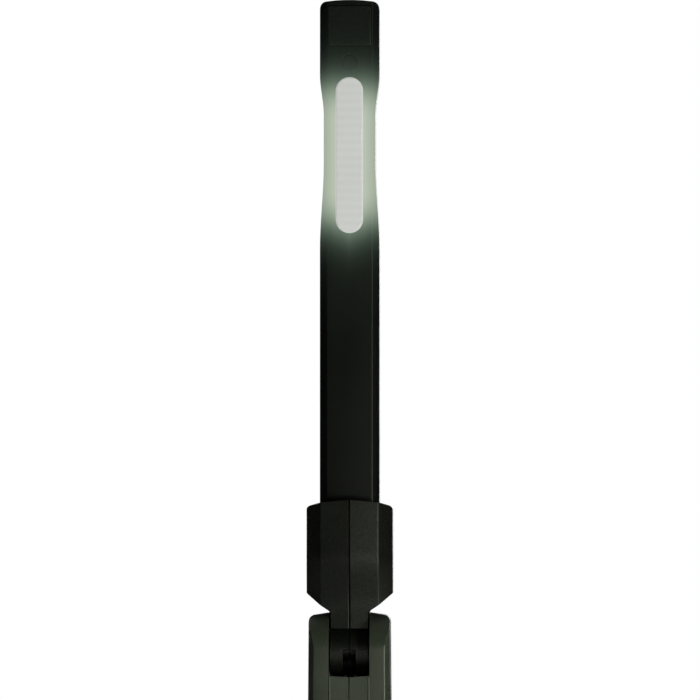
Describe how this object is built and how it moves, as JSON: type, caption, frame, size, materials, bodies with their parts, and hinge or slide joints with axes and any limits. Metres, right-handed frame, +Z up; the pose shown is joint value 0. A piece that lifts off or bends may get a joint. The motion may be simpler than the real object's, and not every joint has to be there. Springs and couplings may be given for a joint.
{
  "type": "work light",
  "caption": "Slim folding work light: a flat lit wand on a swivel collar that tilts in the forked top of a battery handle with a magnetic base and a hook.",
  "frame": {"origin": "middle of the flat underside of the base", "axes": "+Z up along the handle and the wand, -Y the lit side, +X right of the lit side"},
  "size_m": [0.0284, 0.0272, 0.3978],
  "materials": {
    "handle_plastic": "fine textured moulding",
    "black_plastic": "fine textured moulding",
    "grained_plastic": "leather-grained moulding",
    "rubber": "matt",
    "diffuser": "frosted, lit",
    "phosphor": "satin",
    "board_green": "solder mask",
    "board_white": "white solder mask",
    "steel": "brushed",
    "dark_steel": "black oxide",
    "aluminium": "extruded",
    "nickel": "nickel plated",
    "cell_wrap": "shrink sleeve",
    "wire_sleeve": "matt"
  },
  "bodies": {
    "handle": {"handle_left_shell": "handle_plastic", "handle_right_shell": "handle_plastic", "hinge_bolt": "steel", "hinge_nut": "steel", "hinge_cover_left": "black_plastic", "hinge_cover_right": "black_plastic", "battery_cell": "cell_wrap", "cell_contact": "nickel", "cell_spring": "nickel", "driver_board": "board_green", "tactile_switch": "dark_steel", "charging_socket": "nickel", "level_window": "diffuser", "base_cap": "black_plastic", "base_magnet": "nickel", "base_screw_1": "dark_steel", "base_screw_2": "dark_steel", "handle_lead": "wire_sleeve", "handle_screw_1": "dark_steel", "handle_screw_2": "dark_steel", "handle_screw_3": "dark_steel", "handle_screw_4": "dark_steel"},
    "button": {"power_button": "rubber"},
    "cover": {"port_cover": "rubber"},
    "hook": {"hanging_hook": "steel"},
    "neck": {"collar_left_shell": "black_plastic", "collar_right_shell": "black_plastic", "hinge_washer_left": "black_plastic", "hinge_washer_right": "black_plastic", "swivel_ring": "rubber", "neck_lead": "wire_sleeve", "collar_screw_1": "dark_steel", "collar_screw_2": "dark_steel"},
    "wand": {"wand_front_shell": "black_plastic", "wand_rear_shell": "black_plastic", "tip_cap": "grained_plastic", "lens": "diffuser", "led_strip": "phosphor", "led_board": "board_white", "heat_spreader": "aluminium", "tip_magnet": "nickel", "swivel_hub": "black_plastic", "wand_screw": "dark_steel", "rear_screw": "dark_steel", "wand_lead": "wire_sleeve"}
  },
  "joints": [
    {"name": "head_tilt", "type": "hinge", "parent": "handle", "child": "neck", "pos_m": [0, 0, 0.19], "axis": [1, 0, 0], "range_deg": [0, 90]},
    {"name": "head_swivel", "type": "hinge", "parent": "neck", "child": "wand", "pos_m": [0, 0, 0.228], "axis": [0, 0, 1], "range_deg": [-90, 90]},
    {"name": "button_press", "type": "slide", "parent": "handle", "child": "button", "axis": [0, 1, 0], "range_m": [0, 0.0008], "stiffness_N_per_m": 900},
    {"name": "cover_open", "type": "hinge", "parent": "handle", "child": "cover", "pos_m": [0, 0.01255, 0.1562], "axis": [1, 0, 0], "range_deg": [0, 110]},
    {"name": "hook_swing", "type": "hinge", "parent": "handle", "child": "hook", "pos_m": [0, 0.0116, 0.013], "axis": [-1, 0, 0], "range_deg": [0, 180]}
  ]
}
